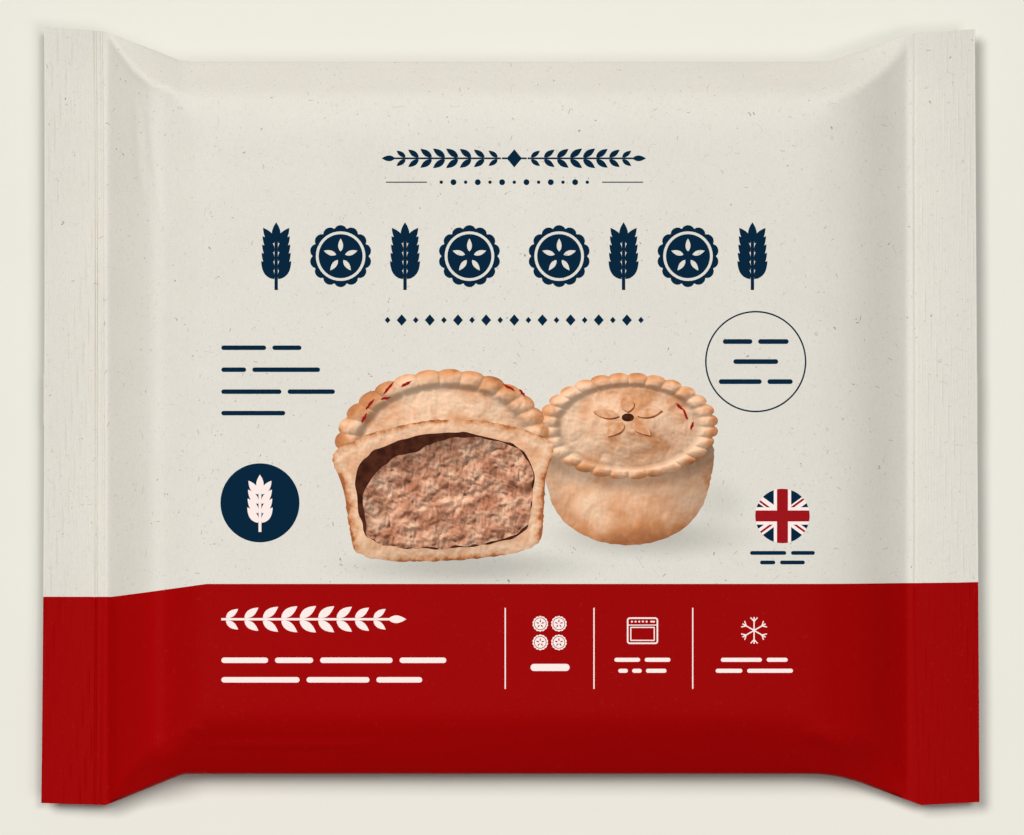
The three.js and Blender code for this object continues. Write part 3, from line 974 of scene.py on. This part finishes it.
class Nodes:
    """Short ways to add the nodes of one material, which work on places in millimetres"""

    def __init__(self, name, roughness=FILM_ROUGHNESS, shine=INK_SHINE):
        self.material = bpy.data.materials.new(name)
        self.material.use_nodes = True
        self.tree = self.material.node_tree
        self.shader = self.tree.nodes["Principled BSDF"]
        self.feed(self.shader, {"Roughness": roughness, "Specular IOR Level": shine})
        place = self.add("TexCoord", {}, "Object")
        self.mm = self.add("VectorMath", {0: place, "Scale": 1 / MM}, operation="SCALE")

    def feed(self, node, inputs):
        """Sets inputs of a node, or links them to the outputs of others"""
        for key, value in inputs.items():
            if isinstance(value, bpy.types.NodeSocket):
                self.tree.links.new(value, node.inputs[key])
            else:
                node.inputs[key].default_value = value

    def add(self, kind, inputs, output=0, **settings):
        """Adds a node with its inputs, and gives one of its outputs"""
        node = self.tree.nodes.new("ShaderNode" + kind)
        for key, value in settings.items():
            setattr(node, key, value)
        self.feed(node, inputs)
        return node.outputs[output]

    def math(self, operation, a, b=0.0):
        return self.add("Math", {0: a, 1: b}, operation=operation)

    def gap(self, a, b=0.0):
        return self.math("ABSOLUTE", self.math("SUBTRACT", a, b))

    def range(self, value, low, high, to_low=0.0, to_high=1.0):
        limits = {"From Min": low, "From Max": high, "To Min": to_low, "To Max": to_high}
        return self.add("MapRange", {"Value": value, **limits}, interpolation_type="SMOOTHSTEP")

    def noise(self, scale, detail=2.0, roughness=0.5, distortion=0.0, vector=None, output="Fac"):
        look = {"Scale": scale, "Detail": detail, "Roughness": roughness, "Distortion": distortion}
        return self.add("TexNoise", {"Vector": vector or self.mm, **look}, output)

    def shift(self, vector, offset):
        return self.add("VectorMath", {0: vector, 1: offset}, operation="ADD")

    def times(self, vector, scale):
        return self.add("VectorMath", {0: vector, 1: scale}, operation="MULTIPLY")

    def turn(self, vector, angle):
        return self.add("VectorRotate", {"Vector": vector, "Angle": angle}, rotation_type="Z_AXIS")

    def placed(self, vector, centre, sizes=(1.0, 1.0), tilt=0.0):
        """The place as seen from a centre, turned back by a tilt, in units of the sizes"""
        moved = self.shift(vector, (-centre[0], -centre[1], 0.0))
        return self.times(self.turn(moved, -tilt), (1 / sizes[0], 1 / sizes[1], 0.0))

    def length(self, vector):
        return self.add("VectorMath", {0: vector}, "Value", operation="LENGTH")

    def split(self, vector):
        """The x, y and z of a vector"""
        return self.add("SeparateXYZ", {0: vector}).node.outputs[:]

    def total(self, *terms):
        """Sum of outputs, each times its own number"""
        value = self.math("MULTIPLY", *terms[0])
        for output, share in terms[1:]:
            value = self.math("ADD", value, self.math("MULTIPLY", output, share))
        return value

    def product(self, value, *others):
        for other in others:
            value = self.math("MULTIPLY", value, other)
        return value

    def ramp(self, value, stops):
        node = self.add("ValToRGB", {0: value}).node
        elements = node.color_ramp.elements
        while len(elements) < len(stops):
            elements.new(0.5)
        for element, (position, colour) in zip(elements, stops):
            element.position = position
            element.color = colour
        return node.outputs[0]

    def blend(self, share, a, b, mode="MIX"):
        return self.add("Mix", {"Factor": share, 6: a, 7: b}, 2, data_type="RGBA", blend_type=mode)

    def tinted(self, colour, tint):
        return self.blend(1.0, colour, tint, "MULTIPLY")

    def scaled(self, colour, level):
        """The colour times one level"""
        return self.tinted(colour, self.add("CombineXYZ", {0: level, 1: level, 2: level}))

    def along(self, colour, levels):
        """The colour times a level that changes with x, from places in mm; it carries painted light and
        shade along the pack
        """
        share = self.total((self.split(self.mm)[0], 1 / PACK_LENGTH), (1.0, 0.5))
        stops = [(place / PACK_LENGTH + 0.5, (v, v, v, 1.0)) for place, v in levels]
        return self.tinted(colour, self.ramp(share, stops))

    def fibres(self, cell, length, width, chosen):
        """Share of short curved hairs that lie at random angles, one at most in each cell"""
        cells = {"Vector": self.mm, "Scale": 1 / cell}
        centre = self.add("TexVoronoi", cells, "Position", voronoi_dimensions="2D")
        chance, angle, bend = self.add("SeparateColor", {0: centre.node.outputs["Color"]}).node.outputs[:]
        flat_place, flat_centre = (self.times(vector, (1, 1, 0)) for vector in (self.mm, centre))
        local = self.add("VectorMath", {0: flat_place, 1: flat_centre}, operation="SUBTRACT")
        x, y, _ = self.split(self.turn(local, self.product(angle, 2 * math.pi)))
        curve = self.product(x, x, bend, 0.35)
        off_line = self.gap(y, curve)
        thin = self.range(off_line, width, width * 2.2, 1.0, 0.0)
        short = self.range(self.gap(x), length * 0.4, length * 0.5, 1.0, 0.0)
        return self.product(thin, short, self.math("LESS_THAN", chance, chosen))

    def finish(self, colour):
        self.feed(self.shader, {"Base Color": colour})
        return self.material


# Colours of the film and of the inks
CREAM = srgb(228, 224, 214)
RED_INK = srgb(168, 2, 3)
DARK_INK = srgb(0, 36, 60)
WHITE_INK = srgb(255, 238, 232)
FLAG_RED = srgb(157, 18, 24)
FLECK_DARK = srgb(92, 82, 62)
FLECK_GREY = srgb(150, 140, 120)
FLECK_RED = srgb(134, 102, 78)
TINT_WARM = (1.0, 0.988, 0.976, 1.0)
TINT_COOL = (0.99, 0.992, 0.984, 1.0)
# Painted highlight along the cut ends of the film
CUT_END_HIGHLIGHT = 1.04

# Painted light and shade along the film and the lower band, from the left end to the right one: the film
# darker on the left seal and towards the right end, the band lighter on the slopes up from both seals and
# darker towards the right end
FILM_PAINTED_SHADE = [
    (-98, 0.95), (-85.8, 0.952), (-84.6, 0.99), (-80, 1.0), (5, 1.0), (40, 0.98), (72, 0.965),
    (84, 0.962), (98, 0.95),
]
BAND_PAINTED_LIGHT_AND_SHADE = [
    (-98, 0.87), (-86, 0.89), (-82, 1.0), (-76, 0.99), (-70, 0.9), (-25, 0.89), (20, 0.85), (68, 0.85),
    (73, 0.91), (83, 0.9), (86, 0.85), (98, 0.845),
]

# Soft shadows printed below the pies: centre, half sizes and strength
PICTURE_SHADOWS = [
    (-9.0, -31.6, 26.0, 4.0, 0.32),
    (29.0, -25.4, 20.0, 4.6, 0.32),
    (43.0, -18.0, 7.0, 5.0, 0.14),
]

# Faint unevenness of the paper look: noise, stretch, lowest and highest noise, and strength
GRAINS = [
    ((0.07, 4.0, 0.6, 0.0), (1.0, 1.0, 1.0), 0.3, 0.7, 0.012),
    ((1.0, 3.0, 0.65, 0.5), (2.6, 0.8, 1.0), 0.3, 0.7, 0.02),
    ((2.4, 2.0, 0.6, 0.0), (1.0, 1.0, 1.0), 0.25, 0.75, 0.018),
]
FAINT_FLECKS = 0.26
BOLD_FLECKS = 0.7

# Short dashes and long hairs in the paper look: cell, length, width, share of cells, strength
FIBRES = [(11.0, 1.1, 0.07, 0.3, 0.3), (13.0, 2.2, 0.04, 0.3, 0.22)]


def paper_look(n, tone, fleck_share, grain_share):
    """Matt film: faint clouds and fibrous grain, flecks and hairs over a tone"""
    terms = []
    for noise, stretch, low, high, strength in GRAINS:
        level = n.noise(*noise, n.times(n.mm, stretch))
        terms.append((n.range(level, low, high, -strength, strength), grain_share))
    tone = n.scaled(tone, n.math("ADD", n.total(*terms), 1.0))
    faint = n.range(n.noise(1.5, 2.0, 0.5, 1.0), 0.63, 0.74)
    tone = n.blend(n.product(faint, FAINT_FLECKS * fleck_share), tone, FLECK_GREY)
    kinds = n.range(n.noise(0.35, 1.0), 0.4, 0.6)
    bold = n.range(n.noise(0.95, 1.0, 0.5, 1.2, n.shift(n.mm, (37.0, 11.0, 0.0))), 0.745, 0.8)
    fleck = n.blend(kinds, FLECK_DARK, FLECK_RED)
    tone = n.blend(n.product(bold, BOLD_FLECKS * fleck_share), tone, fleck)
    for *sizes, strength in FIBRES:
        tone = n.blend(n.product(n.fibres(*sizes), strength * fleck_share), tone, FLECK_DARK)
    bump = {"Height": n.noise(1.3, 3.0, 0.6), "Strength": 0.12, "Distance": 0.1 * MM}
    n.feed(n.shader, {"Normal": n.add("Bump", bump)})
    return n.finish(tone)


def picture_shadows(n, colour):
    shade = 1.0
    for x, y, half_x, half_y, strength in PICTURE_SHADOWS:
        far = n.length(n.placed(n.mm, (x, y), (half_x, half_y)))
        shade = n.product(n.range(far, 0.15, 1.3, 1 - strength, 1.0), shade)
    on_front = n.math("GREATER_THAN", n.split(n.mm)[2], SEAL_HEIGHT)
    return n.blend(on_front, colour, n.scaled(colour, shade))


def cut_end_highlight(n):
    """A painted highlight: a lighter line along both cut ends"""
    x, y, _ = n.split(n.mm)
    level = 1.0
    for side, (start, slope, bend) in ((-1, LEFT_CUT), (1, RIGHT_CUT)):
        outward = n.total((x, side), (y, -slope), (n.product(y, y), -bend))
        edge = HALF_LENGTH + start
        level = n.product(n.range(outward, edge - 0.5, edge - 0.2, 1.0, CUT_END_HIGHLIGHT), level)
    return level


def film_material():
    n = Nodes("film_paper", shine=FILM_SHINE)
    # Painted shade: the film darker on the left seal and towards the right end
    tone = picture_shadows(n, n.along(CREAM, FILM_PAINTED_SHADE))
    # Painted highlight along the cut ends
    tone = n.scaled(tone, cut_end_highlight(n))
    tint = n.range(n.noise(0.2, 3.0, 0.6), 0.35, 0.65)
    tone = n.tinted(tone, n.blend(tint, TINT_WARM, TINT_COOL))
    return paper_look(n, tone, 1.0, 1.0)


def ink_material(name, colour, fleck_share, grain_share, levels=None):
    n = Nodes(name)
    return paper_look(n, n.along(colour, levels) if levels else colour, fleck_share, grain_share)


# Colours and light of the pictured pastry
PALE = srgb(250, 208, 172)
DOUGH = srgb(240, 186, 146)
GOLDEN = srgb(218, 150, 100)
BAKED = srgb(172, 100, 62)
SCORCHED = srgb(122, 64, 38)
BROWNING = [(0.0, PALE), (0.3, DOUGH), (0.6, GOLDEN), (1.0, BAKED)]
PICTURE_LIGHT = (-0.35, 0.55, 0.0)


def lit(n, height, reach, dark_level, bright_level):
    """Level of light on a pictured relief, which is lit from the upper left"""
    slope = n.math("SUBTRACT", height(n, n.mm), height(n, n.shift(n.mm, PICTURE_LIGHT)))
    return n.range(slope, -reach, reach, dark_level, bright_level)


def flakes(n, vector):
    """Height of flaky dough"""
    coarse = n.noise(0.28, 4.0, 0.55, 0.4, vector)
    fine = n.noise(0.9, 4.0, 0.65, 0.8, n.times(vector, (0.6, 1.0, 1.0)))
    return n.total((coarse, 1.3), (fine, 0.35))


def lid_material(name, centre, sizes, tilt=0.0):
    """Pictured domed lid with a pinched rim: pale in its folds, browned where it stands up"""
    n = Nodes(name)

    def height(n, vector):
        local = n.placed(vector, centre, sizes, tilt)
        x, y, _ = n.split(local)
        reach = n.length(local)
        turn = n.product(n.math("ARCTAN2", y, x), CRIMPS / 2)
        lobe = n.math("POWER", n.gap(n.math("SINE", turn)), CRIMP_POWER)
        rim = n.product(n.range(reach, 0.74, 0.84), n.range(reach, 0.88, 1.05, 1.0, 0.0))
        dome = n.range(reach, 0.05, 0.77, 1.0, 0.0)
        return n.total((dome, 2.0), (n.product(rim, lobe), 0.8), (rim, 0.5), (flakes(n, vector), 1.0))

    reach = n.length(n.placed(n.mm, centre, sizes, tilt))
    patches = n.range(n.noise(0.13, 3.0, 0.55, 0.5), 0.3, 0.7, -0.3, 0.4)
    rim, middle = n.range(reach, 0.82, 1.03, 0.12, 0.6), n.range(reach, 0, 0.6, 0.2, 0)
    tone = n.ramp(n.total((patches, 1.0), (rim, 1.0), (middle, 1.0)), BROWNING)
    valley = n.range(n.gap(reach, 0.775), 0.0, 0.08, 0.74, 1.0)
    return n.finish(n.scaled(tone, n.product(valley, lit(n, height, 0.5, 0.5, 1.16))))


def wall_flakes(n, vector):
    return flakes(n, n.times(vector, (1.0, 0.7, 1.0)))


def wall_material(name):
    """Pictured side of the whole pie: round, in the rim's shadow above and browned below"""
    n = Nodes(name)
    x, y, _ = n.split(n.placed(n.mm, (WHOLE_X, WHOLE_Y), (RIM_WIDTH, 26.0)))
    under_rim = n.length(n.placed(n.mm, (WHOLE_X, WHOLE_Y - 0.6), (RIM_WIDTH, RIM_HEIGHT_SEEN)))
    patches = n.range(n.noise(0.11, 3.0, 0.55, 0.5), 0.3, 0.7, -0.25, 0.35)
    foot, right = n.range(y, -1.0, -0.6, 0.6, 0.15), n.range(x, 0.3, 1.0, 0.0, 0.3)
    tone = n.ramp(n.total((patches, 1.0), (foot, 1.0), (right, 1.0)), BROWNING)
    level = n.product(
        n.range(x, -1.0, -0.5, 0.74, 1.0),
        n.range(x, -0.1, 1.05, 1.0, 0.52),
        n.range(y, -1.1, -0.7, 0.7, 1.0),
        n.range(under_rim, 0.98, 1.3, 0.55, 1.0),
        lit(n, wall_flakes, 0.4, 0.72, 1.12),
    )
    return n.finish(n.scaled(tone, level))


def half_place(n):
    """Place on the cut face of the half pie, measured from the middle of its foot"""
    return n.split(n.placed(n.mm, (HALF_X, HALF_Y), tilt=HALF_TILT))[:2]


def crust_material(name):
    """Pictured cut crust: a browned skin outside and pale layers of dough within"""
    n = Nodes(name)
    x, y = half_place(n)
    flare = n.range(y, 17.5, 21.5, 0.0, 1.9)
    half = n.total((y, 0.122), (flare, 1.0), (1.0, 19.2))
    from_side = n.math("SUBTRACT", half, n.gap(x))
    from_top = n.total((n.product(x, x), -0.0107), (y, -1.0), (1.0, 30.0))
    depth = n.math("MINIMUM", n.math("MINIMUM", from_side, from_top), y)
    uneven = n.range(n.noise(0.5, 4.0, 0.6), 0.25, 0.75, -0.7, 0.7)
    share = n.range(n.math("ADD", depth, uneven), 0.0, 4.0)
    tone = n.ramp(share, [(0.0, BAKED), (0.05, GOLDEN), (0.2, DOUGH), (0.5, PALE), (1.0, DOUGH)])
    tone = n.blend(n.range(n.noise(0.2, 3.0), 0.5, 0.75, 0.0, 0.55), tone, GOLDEN)
    level = n.product(lit(n, flakes, 0.35, 0.68, 1.14), n.range(y, 0.0, 7.0, 0.8, 1.0))
    return n.finish(n.scaled(tone, level))


def lumps(n, vector):
    """Smooth noise that the filling's height and gaps follow"""
    return n.noise(0.42, 7.0, 0.62, 0.7, vector)


def filling_height(n, vector):
    bend = n.times(n.noise(0.5, vector=vector, output="Color"), (5.5, 5.5, 0.0))
    cells = n.add("TexVoronoi", {"Vector": n.shift(bend, vector)}, "Distance", feature="SMOOTH_F1")
    cells.node.voronoi_dimensions = "2D"
    n.feed(cells.node, {"Scale": 0.22, "Smoothness": 0.3})
    return n.total((cells, -1.3), (lumps(n, vector), 3.0))


def filling_material(name):
    """Pictured chopped filling: lumps with dark gaps between them, in shade below the lid"""
    n = Nodes(name)
    x, y = half_place(n)
    tones = [(0.0, srgb(176, 114, 84)), (0.45, srgb(216, 156, 124)), (1.0, srgb(244, 196, 162))]
    tone = n.ramp(n.range(n.noise(0.3, 4.0, 0.6), 0.3, 0.72), tones)
    gaps = n.range(lumps(n, n.mm), 0.32, 0.42, 1.0, 0.0)
    tone = n.blend(n.product(gaps, 0.75), tone, srgb(88, 44, 28))
    level = n.product(
        lit(n, filling_height, 0.6, 0.38, 1.25),
        n.range(n.total((y, 1.0), (x, -0.18)), 17.0, 26.0, 1.0, 0.5),
        n.range(x, -18.0, -10.0, 0.78, 1.0),
        n.range(y, 2.5, 6.0, 0.84, 1.0),
    )
    return n.finish(n.scaled(tone, level))


def leaf_material(name, light_tone, dark_tone):
    n = Nodes(name)
    tone = n.blend(n.range(n.noise(0.5, 3.0), 0.35, 0.65), light_tone, dark_tone)
    return n.finish(n.scaled(tone, lit(n, flakes, 0.4, 0.8, 1.1)))


HALF_LID_PLACE = turned([(0, LID_BACK_Y)], HALF_X, HALF_Y, HALF_TILT)[0]
INKS = {
    # The band's ink with painted light and shade: lighter on the slopes up from both seals, darker towards
    # the right end
    "band_print": ink_material("band_ink", RED_INK, 0.07, 0.06, BAND_PAINTED_LIGHT_AND_SHADE),
    "print_dark": ink_material("dark_ink", DARK_INK, 0.05, 0.4),
    "print_light": ink_material("light_ink", WHITE_INK, 0.15, 0.4),
    "print_red": ink_material("red_ink", FLAG_RED, 0.2, 0.4),
    "picture_half_lid": lid_material(
        "half_lid_picture", HALF_LID_PLACE, (LID_HALF_WIDTH, LID_HALF_HEIGHT), HALF_TILT
    ),
    "picture_whole_lid": lid_material("whole_lid_picture", (WHOLE_X, WHOLE_Y), (RIM_WIDTH, RIM_HEIGHT_SEEN)),
    "picture_wall": wall_material("wall_picture"),
    "picture_crust": crust_material("crust_picture"),
    "picture_filling": filling_material("filling_picture"),
    "picture_leaf": leaf_material("leaf_picture", DOUGH, GOLDEN),
    "picture_leaf_shade": leaf_material("leaf_shade_picture", BAKED, SCORCHED),
    "picture_gap": leaf_material("gap_picture", srgb(84, 42, 26), srgb(58, 26, 16)),
}

points, normals, faces, inks = build_film()
cream_film = film_material()
pieces = [add_piece("film", points, faces, cream_film, normals)]
for name, material in INKS.items():
    layers = [(layer, numbers) for (piece, layer), numbers in sorted(inks.items()) if piece == name]
    pieces.append(add_ink(name, layers, points, normals, faces, material))
pieces.append(add_piece("fin_seal", *fin_mesh(), cream_film))

# Floor
FLOOR_HALF = 6000
FLOOR_TONE = srgb(172, 170, 162)


def floor_material():
    n = Nodes("floor", 0.8, 0.0)
    return n.finish(n.scaled(FLOOR_TONE, n.range(n.noise(0.02, 2.0), 0.3, 0.7, 0.994, 1.006)))


floor_corners = [(x, y, 0) for x, y in box(-FLOOR_HALF, -FLOOR_HALF, FLOOR_HALF, FLOOR_HALF)]
floor = add_mesh("floor", floor_corners, [(0, 1, 2, 3)], floor_material())

# Soft light from all round, and soft suns for the pack and for the floor
SKY_COLOUR = (1.0, 0.995, 0.985, 1.0)
SKY_STRENGTH = 0.08
world = bpy.data.worlds.new("studio")
world.use_nodes = True
sky = world.node_tree.nodes["Background"]
sky.inputs["Color"].default_value = SKY_COLOUR
sky.inputs["Strength"].default_value = SKY_STRENGTH
bpy.context.scene.world = world


def add_sun(name, energy, angle, direction, receivers):
    """A soft sun that lights only some objects"""
    data = bpy.data.lights.new(name, "SUN")
    data.energy = energy
    data.angle = math.radians(angle)
    sun = add_object(name, data)
    sun.rotation_mode = "QUATERNION"
    sun.rotation_quaternion = Vector(direction).to_track_quat("Z", "Y")
    lit_objects = bpy.data.collections.new(name + "_lit")
    for receiver in receivers:
        lit_objects.objects.link(receiver)
    sun.light_linking.receiver_collection = lit_objects


add_sun("pack_sun", 2.32, 30, (-0.1, 0.37, 0.92), pieces)
add_sun("pack_fill", 0.71, 90, (0.0, 0.0, 1.0), pieces)
add_sun("floor_left_sun", 3.5, 15.8, (-0.226, 0.195, 1.0), [floor])
add_sun("floor_right_sun", 1.87, 9.4, (0.139, 0.121, 1.0), [floor])
add_sun("floor_low_sun", 0.9, 14.5, (0.278, -0.153, 1.0), [floor])

# Camera straight above, far enough for the frame's width at the height of the seals
CAMERA_X = 0.32
CAMERA_Y = -0.42
FRAME_WIDTH = 215.8
LENS = 400.0
SENSOR = 36.0
camera_data = bpy.data.cameras.new("camera")
camera_data.type = "PERSP"
camera_data.lens = LENS
camera_data.sensor_width = SENSOR
camera_data.clip_end = 100
camera = add_object("camera", camera_data)
camera_height = SEAL_HEIGHT + FRAME_WIDTH / SENSOR * LENS
camera.location = (CAMERA_X * MM, CAMERA_Y * MM, camera_height * MM)
bpy.context.scene.camera = camera
bpy.context.scene.view_settings.view_transform = "Standard"
